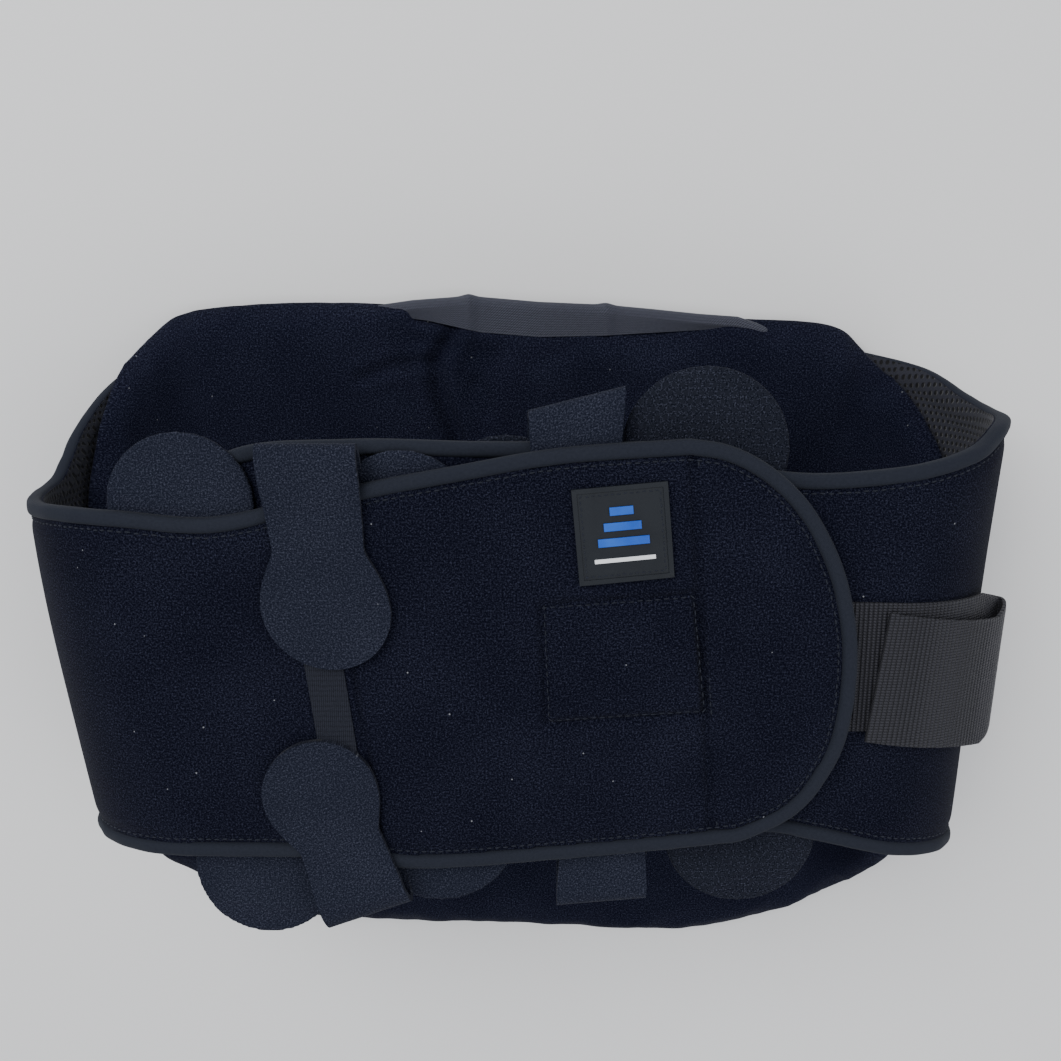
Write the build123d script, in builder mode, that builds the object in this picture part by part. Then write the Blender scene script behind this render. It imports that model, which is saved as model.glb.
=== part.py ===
from build123d import *
import math
import os

# Lumbar support belt, closed in front and lying on its back, in millimetres.
# Origin: centre of the back's resting face. +X runs along the waist, +Y towards the belt's
# upper edge, +Z up, out of the back and towards the closed front.

os.makedirs("parts", exist_ok=True)

# The roll: the closed belt's cross-section is a stadium, lofted along Y because the belt is
# wider at its upper edge than at its lower one, and more so in front than at the back.
roll_depth = 115.0  # from the resting face to the outer face of the left front flap
under_depth = 107.5  # the same for the right wing, which lies under the left one
mid_height = roll_depth / 2
left_reach = 189.4  # from the origin to the left side at Y 0
right_reach = 194.8
left_slopes = (0.20, 0.136, 0.07)  # how much it grows per millimetre of Y: front, side, back
right_slopes = (0.05, 0.042, 0.034)
roll_span = 175.0  # half the length of the lofted roll along Y

# Cloth, felt and webbing
wing_thickness = 4.5
felt_thickness = 2.2
webbing_width = 50.8
webbing_thickness = 1.6
binding_width = 6.5
tape_width = 14.0
tape_thickness = 0.4
split_gap = 0.3  # left between cloth on two bodies where the real cloth bends

# The back, in layers from the resting face towards the wearer
back_half_height = 153.5
back_half_width = 150.0
cover_thickness = 1.2
stay_top = 2.4
panel_bottom = 2.8
panel_top = 5.2
lining_bottom = 5.6
pad_bottom = 6.2
pad_top = 12.5
liner_top = 14.5
liner_side_height = 48.0
stay_centre_x = 10.0
stay_spacing = 61.0
stay_width = 12.0
panel_size = (196.0, 262.0)
panel_corner = 22.0
panel_slot = (120.0, 7.0)
panel_slot_x = 34.0
lining_size = (226.0, 286.0)

# Seams of the front, seen from above
left_seam = ((-77.0, 81.0), (-60.0, -57.0))
end_seam = ((64.0, 103.0), (77.0, -52.0))
right_seam_x = 30.0

# Felt tabs that fold over the rims
tab_width = 36.0
top_tab_centre = (-70.0, 44.0)
top_tab_radius = 25.0
top_fold_y = 101.5
bottom_tab_centre = (-72.0, -32.0)
bottom_tab_radius = 23.0
bottom_fold_centre = (-55.0, -80.0)
fold_wall = 2.0
inner_tab_radius = 21.0

# Rubber label
label_width = 34.0
label_height = 35.0
label_thickness = 2.0
label_centre = (40.0, 70.0)
label_turn = 5.5

# Heights of the layers in front
front = roll_depth
felt_bottom = under_depth + 0.5
felt_top = felt_bottom + felt_thickness
inner_felt_top = under_depth - wing_thickness - 0.3
inner_felt_bottom = inner_felt_top - felt_thickness
tab_bottom = front + 0.8
tab_top = tab_bottom + felt_thickness
hook_thickness = 0.3
hook_panel_bottom = felt_bottom + 0.7
hook_panel_thickness = felt_thickness - 0.6

# The pull strap
strap_low_y = -15.0
strap_high_y = strap_low_y + webbing_width
strap_skew = 1.0  # the webbing lies a little askew
strap_stand_off = 0.4  # between the right wing and the webbing, and between its two layers
strap_starts = (112.0, 140.0)  # X where each layer of webbing starts, the lower one first
strap_turn_height = 75.0  # where it turns back, at the right side


def roll(depth, top=roll_depth):
    """The closed belt as a filled roll, with its wall cut back by depth."""
    radius = top / 2
    height = radius - depth
    with BuildPart() as core:
        for y in (-roll_span, roll_span):
            left_front, left_side, left_back = (left_reach + slope * y for slope in left_slopes)
            right_front, right_side, right_back = (right_reach + slope * y for slope in right_slopes)
            quarters = (
                (right_front - radius, right_side, 0), (radius - left_front, -left_side, 90),
                (radius - left_back, -left_side, 180), (right_back - radius, right_side, 270),
            )
            with BuildSketch(Plane.XZ.offset(-y)):
                with BuildLine():
                    for centre_x, side_x, start in quarters:
                        width = abs(side_x - centre_x) - depth
                        EllipticalCenterArc((centre_x, radius), width, height, start)
                    Line((radius - left_front, top - depth), (right_front - radius, top - depth))
                    Line((radius - left_back, depth), (right_back - radius, depth))
                make_face()
        loft(ruled=True)
    return core.part


def keep_layer(outer, inner, top=roll_depth):
    """Trim the part being made to the layer of the roll between two depths."""
    add(roll(outer, top), mode=Mode.INTERSECT)
    add(roll(inner, top), mode=Mode.SUBTRACT)


def panel(*rims):
    """A closed outline seen from above: curved rims, joined end to end by straight seams."""
    with BuildSketch() as shape:
        with BuildLine():
            for rim, following in zip(rims, rims[1:] + rims[:1]):
                Spline(*rim) if len(rim) > 2 else Polyline(*rim)
                Polyline(rim[-1], following[0])
        make_face()
    return shape.sketch


def bound(shape, *rims):
    """The strip of a panel that its binding wraps, along the given rims."""
    with BuildSketch() as strip:
        for rim in rims:
            with BuildLine() as path:
                Spline(*rim)
            trace(path.line, 2 * binding_width)
        add(shape, mode=Mode.INTERSECT)
    return strip.sketch


def raise_between(sketch, low, high):
    """Raise a sketch drawn on the resting plane into a block between two heights."""
    extrude(sketch.moved(Location((0, 0, low))), amount=high - low)


def finish(name, builder):
    """Label a finished sub-part and write it."""
    builder.part.label = name
    export_step(builder.part, f"parts/{name}.step")


def cloth_and_binding(name, binding_name, shape, rims, low, high, top):
    """Make one panel of wing cloth inside its binding, and the binding."""
    strip = bound(shape, *rims)
    with BuildPart() as cloth:
        raise_between(shape - strip, low, high)
        keep_layer(0, wing_thickness, top)
    finish(name, cloth)
    with BuildPart() as binding:
        raise_between(strip, low, high)
        keep_layer(0, wing_thickness, top)
    finish(binding_name, binding)


# ---------------------------------------------------------------- the back

back_points = [
    (-back_half_width, 152), (110, 152), (back_half_width, 140), (back_half_width, -134),
    (95, -back_half_height), (-85, -back_half_height), (-back_half_width, -134),
]
liner_points = [
    (-148, back_half_height), (100, back_half_height), (150, 140), (200, 92), (200, -110),
    (150, -136), (95, -back_half_height), (-85, -back_half_height), (-152, -134), (-200, -98),
    (-200, 96),
]
liner_corner = 22.0
pad_inset = 8.0


def rounded_outline(points, radius, inset=0.0):
    """A closed outline with straight sides and rounded corners."""
    with BuildSketch() as shape:
        with BuildLine():
            Polyline(*points, close=True)
        make_face()
        fillet(shape.vertices(), radius)
        if inset:
            offset(amount=-inset)
    return shape.sketch


with BuildPart() as back_cover:
    raise_between(rounded_outline(back_points, 18), 0, mid_height)
    keep_layer(-0.2, cover_thickness)
finish("back_cover", back_cover)

with BuildPart() as posterior_stays:
    for side in (-1, 1):
        with BuildSketch(Plane.XY.offset(cover_thickness)):
            with Locations((stay_centre_x + side * stay_spacing / 2, 0)):
                RectangleRounded(stay_width, 2 * back_half_height - 45, stay_width / 2 - 0.5)
    extrude(amount=stay_top - cover_thickness)
finish("posterior_stays", posterior_stays)

with BuildPart() as rigid_panel:
    with BuildSketch(Plane.XY.offset(panel_bottom)):
        RectangleRounded(*panel_size, panel_corner)
        for side in (-1, 1):
            with Locations((side * panel_slot_x, 0)):
                SlotOverall(*panel_slot, rotation=90, mode=Mode.SUBTRACT)
    extrude(amount=panel_top - panel_bottom)
finish("rigid_panel", rigid_panel)

with BuildPart() as pocket_lining:
    with BuildSketch(Plane.XY.offset(lining_bottom)):
        RectangleRounded(*lining_size, 14)
    extrude(amount=pad_bottom - lining_bottom)
finish("pocket_lining", pocket_lining)

with BuildPart() as lumbar_pad:
    pad_shape = rounded_outline(liner_points, liner_corner, pad_inset)
    raise_between(pad_shape, 1, liner_side_height - pad_inset)
    keep_layer(pad_bottom, pad_top)
finish("lumbar_pad", lumbar_pad)

with BuildPart() as back_liner:
    raise_between(rounded_outline(liner_points, liner_corner), 1, liner_side_height)
    keep_layer(pad_top, liner_top)
finish("back_liner", back_liner)

# ---------------------------------------------------------------- the left wing

left_rear_top = [(-212, 58), (-200, 78), (-187, 97), (-back_half_width, 126)]
left_rear_bottom = [(-back_half_width, -114), (-178, -84), (-207, -64)]
cloth_and_binding(
    "left_wing_side", "left_rear_binding", panel(left_rear_top, left_rear_bottom),
    [left_rear_top, left_rear_bottom], -1, mid_height - split_gap, roll_depth,
)

left_front_top = [(-212, 77), (-142, 80), (-110, 77), left_seam[0]]
left_front_bottom = [left_seam[1], (-105, -55), (-135, -58), (-178, -84), (-212, -106)]
cloth_and_binding(
    "left_wing_front", "left_front_binding", panel(left_front_top, left_front_bottom),
    [left_front_top, left_front_bottom], mid_height, front + 1, roll_depth,
)

flap_top = [left_seam[0], (-50, 87.5), (-20, 93.5), (20, 99.5), end_seam[0]]
flap_bottom = [end_seam[1], (34, -57), (-12, -61), left_seam[1]]
cloth_and_binding(
    "left_flap", "left_flap_binding", panel(flap_top, flap_bottom),
    [flap_top, flap_bottom], mid_height, front + 1, roll_depth,
)

end_rim = [
    (end_seam[0][0] + split_gap, end_seam[0][1]), (92, 94), (115, 67.5), (127, 26), (123, -15),
    (105, -40), (end_seam[1][0] + split_gap, end_seam[1][1]),
]
cloth_and_binding(
    "flap_end", "flap_end_binding", panel(end_rim), [end_rim], mid_height, front + 1, roll_depth,
)

with BuildPart() as flap_end_hook:
    with BuildSketch(Plane.XY.offset(hook_panel_bottom)):
        with Locations((92, 28)):
            RectangleRounded(28, 96, 9)
    extrude(amount=hook_panel_thickness)
finish("flap_end_hook", flap_end_hook)

seam_run = left_seam[1][0] - left_seam[0][0]
seam_drop = left_seam[0][1] - left_seam[1][1]
tape_lean = math.degrees(math.atan2(seam_run, seam_drop))
with BuildPart() as left_seam_tape:
    with BuildSketch(Plane.XY.offset(front)):
        with Locations(Location((-68.5, 12, 0), (0, 0, tape_lean))):
            Rectangle(tape_width, 126)
    extrude(amount=tape_thickness)
finish("left_seam_tape", left_seam_tape)


def lobes_and_arms(centres, radius, hub, arm_width):
    """Round felt lobes on arms that meet at a hub."""
    with BuildSketch() as shape:
        for centre in centres:
            with Locations(centre):
                Circle(radius)
            with BuildLine() as arm:
                Line(hub, centre)
            trace(arm.line, arm_width)
        with Locations(hub):
            Circle(arm_width / 2)
    return shape.sketch


def fold_plane(centre, away, height):
    """A plane at a fold: X along the fold line, Y along the strap, away from its tab."""
    return Plane(origin=(*centre, height), x_dir=(away[1], -away[0], 0), z_dir=(0, 0, 1))


def unit(start, end):
    """The direction from one point to another, as a pair."""
    length = math.dist(start, end)
    return ((end[0] - start[0]) / length, (end[1] - start[1]) / length)


top_fold_centre = (top_tab_centre[0], top_fold_y)
top_away = unit(top_tab_centre, top_fold_centre)
bottom_away = unit(bottom_tab_centre, bottom_fold_centre)

with BuildPart() as left_connector:
    raise_between(
        lobes_and_arms([(-120, 79), (-40, 73), (-96, -69), (-28, -50)], 28, (-70, 8), 30),
        felt_bottom, felt_top,
    )
    for centre, away, arm in (
        (top_fold_centre, top_away, 95), (bottom_fold_centre, bottom_away, 80),
    ):
        with BuildSketch(fold_plane(centre, away, felt_bottom)):
            with Locations((0, -arm / 2)):
                Rectangle(tab_width, arm)
        extrude(amount=felt_thickness)
        with BuildSketch(fold_plane(centre, away, felt_bottom)):
            with Locations((0, -fold_wall / 2)):
                Rectangle(tab_width, fold_wall)
        extrude(amount=tab_bottom - split_gap - felt_bottom)
finish("left_connector", left_connector)


def felt_tab(name, centre, radius, fold_centre, away, low, high):
    """A strap that ends in a round disc, laid flat from its fold line."""
    reach = math.dist(centre, fold_centre)
    with BuildPart() as tab:
        with BuildSketch(fold_plane(fold_centre, away, low)):
            with Locations((0, -reach)):
                Circle(radius)
            with Locations((0, -reach / 2)):
                Rectangle(tab_width, reach)
        extrude(amount=high - low)
    finish(name, tab)


def hook_disc(name, centre, radius, low):
    """The hook patch under a tab's disc."""
    with BuildPart() as disc:
        with BuildSketch(Plane.XY.offset(low)):
            with Locations(centre):
                Circle(radius)
        extrude(amount=hook_thickness)
    finish(name, disc)


tab_felt_bottom = tab_bottom + hook_thickness
felt_tab("top_tab", top_tab_centre, top_tab_radius, top_fold_centre, top_away, tab_felt_bottom, tab_top)
hook_disc("top_tab_hook", top_tab_centre, top_tab_radius - 4, tab_bottom)
felt_tab(
    "bottom_tab", bottom_tab_centre, bottom_tab_radius, bottom_fold_centre, bottom_away,
    tab_felt_bottom, tab_top,
)
hook_disc("bottom_tab_hook", bottom_tab_centre, bottom_tab_radius - 4, tab_bottom)

with BuildPart() as flap_hook_patch:
    with BuildSketch(Plane.XY.offset(hook_panel_bottom)):
        with Locations(Location((41, 22, 0), (0, 0, 4))):
            Rectangle(56, 46)
    extrude(amount=hook_panel_thickness)
finish("flap_hook_patch", flap_hook_patch)

label_place = Plane(
    origin=(*label_centre, front),
    x_dir=(math.cos(math.radians(label_turn)), math.sin(math.radians(label_turn)), 0),
    z_dir=(0, 0, 1),
)
with BuildPart() as label_patch:
    with BuildSketch(label_place):
        RectangleRounded(label_width, label_height, 1.2)
    extrude(amount=label_thickness)
    with BuildSketch(label_place.offset(label_thickness)):
        RectangleRounded(label_width - 2.6, label_height - 2.6, 0.8)
        RectangleRounded(label_width - 4.2, label_height - 4.2, 0.6, mode=Mode.SUBTRACT)
    extrude(amount=-0.5, mode=Mode.SUBTRACT)
finish("label_patch", label_patch)

with BuildPart() as label_emblem:
    for row, width in enumerate((9, 14, 19)):
        with BuildSketch(label_place.offset(label_thickness)):
            with Locations((0, 8 - 6 * row)):
                SlotOverall(width, 3)
        extrude(amount=0.4)
finish("label_emblem", label_emblem)

# ---------------------------------------------------------------- the right wing

right_front_top = [(right_seam_x, 101), (64, 100), (100, 89.5), (137, 91), (174, 98), (214, 108)]
right_front_bottom = [(214, -98), (182, -82), (144, -63), (97, -50), (right_seam_x, -48)]
right_rear_top = [(back_half_width, 131), (178, 127), (196, 110), (214, 90)]
right_rear_bottom = [(214, -76), (190, -87), (back_half_width, -118)]
cloth_and_binding(
    "right_wing_front", "right_front_binding", panel(right_front_top, right_front_bottom),
    [right_front_top, right_front_bottom], under_depth / 2, under_depth + 1, under_depth,
)
cloth_and_binding(
    "right_wing_side", "right_rear_binding", panel(right_rear_top, right_rear_bottom),
    [right_rear_top, right_rear_bottom], -1, under_depth / 2, under_depth,
)

right_flap_rim = [
    (right_seam_x, -48), (-40, -50), (-98, -42), (-126, -14), (-136, 25), (-128, 70),
    (-104, 97), (-60, 103), (0, 101), (right_seam_x, 101),
]
cloth_and_binding(
    "right_flap", "right_flap_binding", panel(right_flap_rim), [right_flap_rim],
    under_depth / 2, under_depth + 1, under_depth,
)

with BuildPart() as right_seam_tape:
    with BuildSketch(Plane.XY.offset(under_depth)):
        with Locations((right_seam_x, 26)):
            Rectangle(tape_width, 130)
    extrude(amount=tape_thickness - 0.1)
finish("right_seam_tape", right_seam_tape)

right_top_fold = (23.5, 116.0)
right_top_disc = (24.5, 76.0)
right_bottom_fold = (36.0, -79.0)
right_bottom_disc = (34.0, -34.0)
right_straps = (
    ("right_top_tab", right_top_disc, right_top_fold),
    ("right_bottom_tab", right_bottom_disc, right_bottom_fold),
)
with BuildPart() as right_connector:
    raise_between(
        lobes_and_arms([(71, 98), (-2, 81), (90, -54), (-20, -46)], 28, (right_seam_x, 22), 30),
        inner_felt_bottom, inner_felt_top,
    )
    for name, centre, fold in right_straps:
        with BuildSketch(fold_plane(fold, unit(centre, fold), inner_felt_bottom)):
            with Locations((0, -45)):
                Rectangle(tab_width, 90)
        extrude(amount=felt_thickness)
finish("right_connector", right_connector)

for name, centre, fold in right_straps:
    with BuildPart() as inner_tab:
        place = fold_plane(fold, unit(centre, fold), felt_bottom - 0.1)
        with BuildSketch(place):
            with Locations((0, -math.dist(centre, fold))):
                Circle(inner_tab_radius)
            with Locations((0, -math.dist(centre, fold) / 2)):
                Rectangle(tab_width, math.dist(centre, fold))
        extrude(amount=felt_thickness)
        with BuildSketch(place.offset(-(felt_bottom - 0.1 - inner_felt_top))):
            with Locations((0, -fold_wall / 2)):
                Rectangle(tab_width, fold_wall)
        extrude(amount=felt_bottom - inner_felt_top)
    finish(name, inner_tab)

# ---------------------------------------------------------------- the pull strap

lower_layer = strap_stand_off
upper_layer = 3 * strap_stand_off + webbing_thickness
under_radius = under_depth / 2


def strap_face(start_x):
    """The webbing seen from above, from its start to the side."""
    far_x = 220.0
    with BuildSketch() as face:
        with BuildLine():
            Polyline(
                (start_x, strap_high_y - strap_skew), (far_x, strap_high_y + strap_skew),
                (far_x, strap_low_y - strap_skew), (start_x - 4, strap_low_y + strap_skew),
                close=True,
            )
        make_face()
    return face.sketch


def side_x(stand_off, height, y):
    """Where a layer that stands off the right wing crosses a height, at the right side."""
    centre = right_reach + right_slopes[0] * y - under_radius
    width = right_reach + right_slopes[1] * y - centre + stand_off
    return centre + width * math.sqrt(1 - ((height - under_radius) / (under_radius + stand_off)) ** 2)


turn_y = (strap_low_y + strap_high_y) / 2
turn_middle = lower_layer + webbing_thickness + strap_stand_off
turn_radius = webbing_thickness + strap_stand_off
turn_plane = Plane(
    origin=(side_x(turn_middle, strap_turn_height, turn_y), turn_y, strap_turn_height),
    x_dir=(1, -right_slopes[1], 0), z_dir=(right_slopes[1], 1, 0),
)
with BuildPart() as pull_strap:
    raise_between(strap_face(strap_starts[0]), strap_turn_height, under_depth + 10)
    keep_layer(-lower_layer - webbing_thickness, -lower_layer, under_depth)
    with BuildSketch(turn_plane.offset(-webbing_width / 2)):
        Circle(turn_radius)
        Circle(strap_stand_off, mode=Mode.SUBTRACT)
        with Locations((0, -turn_radius)):
            Rectangle(3 * turn_radius, 2 * turn_radius, mode=Mode.SUBTRACT)
    extrude(amount=webbing_width)
finish("pull_strap", pull_strap)

with BuildPart() as pull_strap_end:
    raise_between(strap_face(strap_starts[1]), strap_turn_height + split_gap, under_depth + 10)
    keep_layer(-upper_layer - webbing_thickness, -upper_layer, under_depth)
finish("pull_strap_end", pull_strap_end)
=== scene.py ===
import math

import bpy
import numpy as np
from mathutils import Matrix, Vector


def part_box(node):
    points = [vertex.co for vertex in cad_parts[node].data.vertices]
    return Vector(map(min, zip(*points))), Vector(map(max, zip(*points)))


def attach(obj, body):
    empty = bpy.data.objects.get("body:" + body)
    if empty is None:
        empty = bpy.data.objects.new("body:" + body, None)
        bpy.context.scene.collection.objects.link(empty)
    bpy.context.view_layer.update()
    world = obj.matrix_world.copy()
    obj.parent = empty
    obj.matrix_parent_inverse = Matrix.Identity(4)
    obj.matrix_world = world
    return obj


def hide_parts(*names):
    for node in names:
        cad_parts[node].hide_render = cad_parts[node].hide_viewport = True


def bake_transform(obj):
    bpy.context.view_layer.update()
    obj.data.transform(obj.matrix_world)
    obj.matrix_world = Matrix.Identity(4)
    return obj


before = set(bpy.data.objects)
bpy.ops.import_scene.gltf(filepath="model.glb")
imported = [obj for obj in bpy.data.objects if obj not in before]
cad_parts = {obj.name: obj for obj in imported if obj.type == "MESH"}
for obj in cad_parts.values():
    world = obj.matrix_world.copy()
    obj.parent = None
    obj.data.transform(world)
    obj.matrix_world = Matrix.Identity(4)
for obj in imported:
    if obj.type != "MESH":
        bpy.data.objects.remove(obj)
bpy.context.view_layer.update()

# Lengths are millimetres on the flat cloth, and become metres when a piece is rolled round
# the waist. On the cloth, q runs along the waist (left negative, right positive, 0 in the
# middle of the front), y up the belt, and h out of the cloth.
MM = 0.001
LEFT, RIGHT = -1, 1

# The roll: how far it reaches to each side at y, in front, at the side and at the back
FRONT_TOP = {LEFT: 115.0, RIGHT: 107.5}
REACH = {
    LEFT: ((189.4, 0.20, 0), (186.4, 0.11, -0.0004), (189.4, 0.07, 0)),
    RIGHT: ((194.8, 0.05, 0), (192.0, 0.05, 0), (194.8, 0.034, 0)),
}
CLOTH = 4.5
FELT = 2.3
BINDING_WIDTH = 5.8
BINDING_HEIGHT = 6.1
STITCH_INSET = 6.4
STITCH_HEIGHT = -0.65
WEBBING_WIDTH = 50.8


# ------------------------------------------------------------------ lines and places

def smooth_line(points, count=240, closed=False):
    """A smooth line through a few points, as evenly spaced samples."""
    p = np.array(points, float)
    if closed:
        p = np.vstack([p[-1], p, p[0], p[1]])
    else:
        p = np.vstack([2 * p[0] - p[1], p, 2 * p[-1] - p[-2]])
    t = np.linspace(0, 1, 40, endpoint=False)[:, None]
    spans = []
    for a, b, c, d in zip(p, p[1:], p[2:], p[3:]):
        spans.append(0.5 * (2 * b + (c - a) * t + (2 * a - 5 * b + 4 * c - d) * t**2
                            + (3 * b - a - 3 * c + d) * t**3))
    return resampled(np.vstack(spans + [p[-2][None]]), count)


def resampled(line, count):
    """The same line as evenly spaced samples."""
    steps = np.r_[0, np.cumsum(np.linalg.norm(np.diff(line, axis=0), axis=1))]
    wanted = np.linspace(0, steps[-1], count)
    return np.column_stack([np.interp(wanted, steps, line[:, k]) for k in range(line.shape[1])])


def length_of(line):
    return float(np.linalg.norm(np.diff(line, axis=0), axis=1).sum())


def straight(start, end, count=120):
    return np.linspace(start, end, count)


def distance_to(points, line):
    """How far each flat point is from a line."""
    far = np.full(len(points), 1e9)
    for start in range(0, len(line), 40):
        part = line[start:start + 40]
        gap = np.linalg.norm(points[:, None, :] - part[None], axis=2).min(1)
        far = np.minimum(far, gap)
    return far


def relief(q, y):
    """The slow unevenness of the closed front, which all its layers share."""
    return 0.55 * np.sin(q / 37 + 0.4) * np.cos(y / 31 - 0.8) + 0.35 * np.sin(q / 19 - y / 27 + 2)


def reach_at(hand, k, y):
    """How far the roll reaches at y: k is 0 in front, 1 at the side and 2 at the back."""
    a, b, c = REACH[hand][k]
    return a + b * y + c * y**2


def rolled(points, hand):
    """Flat cloth points, rolled round one side of the waist."""
    q, y, h = points.T
    radius = FRONT_TOP[hand] / 2
    front, side, back = (reach_at(hand, k, y) for k in range(3))
    level = front - radius
    u = q * hand
    angle = np.clip((u - level) / radius, 0, math.pi)
    past = np.maximum(u - level - math.pi * radius, 0)
    lift = h + relief(q, y) * np.clip((1 + np.cos(angle)) / 0.7, 0, 1)
    centre = np.where(angle <= math.pi / 2, front, back) - radius
    x = centre + (side - centre + lift) * np.sin(angle)
    x = np.where(u < level, u, x)
    x = np.where(past > 0, centre - past, x)
    z = radius + (radius + lift) * np.cos(angle)
    return np.column_stack([x * hand, y, z]) * MM


def on_back(points):
    """Points laid over the back: q from its middle, y, and h in from its outer face."""
    q, y, h = points.T
    hand = np.where(q < 0, LEFT, RIGHT)
    radius = np.where(q < 0, FRONT_TOP[LEFT], FRONT_TOP[RIGHT]) / 2
    side, back = (np.where(q < 0, reach_at(LEFT, k, y), reach_at(RIGHT, k, y)) for k in (1, 2))
    level = back - radius
    angle = np.maximum(np.abs(q) - level, 0) / radius
    x = np.minimum(np.abs(q), level) + (side - level - h) * np.sin(angle)
    z = radius - (radius - h) * np.cos(angle)
    return np.column_stack([x * hand, y, z]) * MM


BACK_SEAM_X = 150.0


def back_seam(hand, y):
    """Where the rolled wing reaches the seam with the back, as a flat point."""
    radius = FRONT_TOP[hand] / 2
    front, side, back = (reach_at(hand, k, y) for k in range(3))
    centre = back - radius
    turn = math.pi - math.asin((BACK_SEAM_X - centre) / (side - centre))
    return (hand * (front - radius + radius * turn), y)


# ------------------------------------------------------------------ mesh tools

def points_of(piece):
    flat = np.zeros(len(piece.data.vertices) * 3)
    piece.data.vertices.foreach_get("co", flat)
    return flat.reshape(-1, 3)


def move_points(piece, points):
    piece.data.vertices.foreach_set("co", np.asarray(points, float).ravel())
    piece.data.update()


def only(piece):
    bpy.ops.object.select_all(action="DESELECT")
    piece.select_set(True)
    bpy.context.view_layer.objects.active = piece


def added(name):
    piece = bpy.context.object
    piece.name = name
    piece.data.name = name
    return piece


def grid_piece(name, columns, rows):
    """A flat grid, and each of its points' column and row from 0 to 1."""
    bpy.ops.object.select_all(action="DESELECT")
    bpy.ops.mesh.primitive_grid_add(x_subdivisions=columns, y_subdivisions=rows, size=2)
    piece = added(name)
    at = points_of(piece)[:, :2] / 2 + 0.5
    return piece, at


def apply_modifier(piece, kind, **settings):
    only(piece)
    modifier = piece.modifiers.new(kind.title(), kind)
    for key, value in settings.items():
        setattr(modifier, key, value)
    bpy.ops.object.modifier_apply(modifier=modifier.name)


def edit(piece, *steps):
    """Run edit-mode operators on all of a piece."""
    only(piece)
    bpy.ops.object.mode_set(mode="EDIT")
    bpy.ops.mesh.select_all(action="SELECT")
    for step, settings in steps:
        step(**settings)
    bpy.ops.object.mode_set(mode="OBJECT")


def tidy_normals(piece, gap=0.01):
    edit(piece, (bpy.ops.mesh.remove_doubles, {"threshold": gap}),
         (bpy.ops.mesh.normals_make_consistent, {"inside": False}))


def flat_map(piece, across=None):
    """A UV map in metres of flat cloth, for patterns that follow the cloth."""
    data = piece.data
    layer = data.uv_layers.active or data.uv_layers.new(name="cloth")
    layer.name = "cloth"
    place = points_of(piece)[:, :2] * MM if across is None else across * MM
    corner = np.zeros(len(data.loops), int)
    data.loops.foreach_get("vertex_index", corner)
    layer.data.foreach_set("uv", place[corner].ravel())


def smooth(piece, angle=50):
    only(piece)
    bpy.ops.object.shade_smooth_by_angle(angle=math.radians(angle))


def finish_piece(piece, material, body, replaced=(), bend=None):
    """Give a piece its finish and the body it rides on; a piece with a bend rides on no body and keeps its
    place baked in.
    """
    if material:
        piece.data.materials.clear()
        piece.data.materials.append(material)
    if bend:
        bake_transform(piece)
    else:
        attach(piece, body)
    if replaced:
        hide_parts(*replaced)
    return piece


def roll_up(piece, hand):
    move_points(piece, rolled(points_of(piece), hand))


def joined(name, *pieces):
    bpy.ops.object.select_all(action="DESELECT")
    for piece in pieces:
        piece.select_set(True)
    bpy.context.view_layer.objects.active = pieces[0]
    bpy.ops.object.join()
    return added(name)


def close_over(piece, upper, lower, name, gap=0.02):
    """Make a closed piece of a sheet: its upper face, its lower face, and the edge between."""
    move_points(piece, upper)
    only(piece)
    bpy.ops.object.duplicate()
    under = bpy.context.object
    move_points(under, lower)
    whole = joined(name, piece, under)
    only(whole)
    bpy.ops.object.mode_set(mode="EDIT")
    bpy.ops.mesh.select_all(action="DESELECT")
    bpy.ops.mesh.select_non_manifold()
    bpy.ops.mesh.bridge_edge_loops()
    bpy.ops.mesh.select_all(action="SELECT")
    bpy.ops.mesh.remove_doubles(threshold=gap)
    bpy.ops.mesh.normals_make_consistent(inside=False)
    bpy.ops.object.mode_set(mode="OBJECT")
    return whole


# ------------------------------------------------------------------ materials

class Tree:
    """A node tree, with short calls for its nodes and links."""

    def __init__(self, tree):
        self.tree = tree

    def link(self, source, socket):
        if isinstance(source, bpy.types.NodeSocket):
            self.tree.links.new(source, socket)
        else:
            socket.default_value = source

    def node(self, kind, links=None, **settings):
        node = self.tree.nodes.new(kind)
        for key, value in settings.items():
            setattr(node, key, value)
        for key, value in (links or {}).items():
            self.link(value, node.inputs[key])
        return node

    def maths(self, operation, *values):
        node = self.node("ShaderNodeMath", operation=operation)
        for socket, value in zip(node.inputs, values):
            self.link(value, socket)
        return node.outputs[0]

    def mixed(self, factor, first, second):
        """Two colours mixed by a varying factor."""
        mix = self.node("ShaderNodeMix", {"Factor": factor}, data_type="RGBA")
        # its colour sockets share their names with number sockets
        for socket, value in zip([s for s in mix.inputs if s.type == "RGBA"], (first, second)):
            self.link(value, socket)
        return next(s for s in mix.outputs if s.type == "RGBA")


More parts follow.
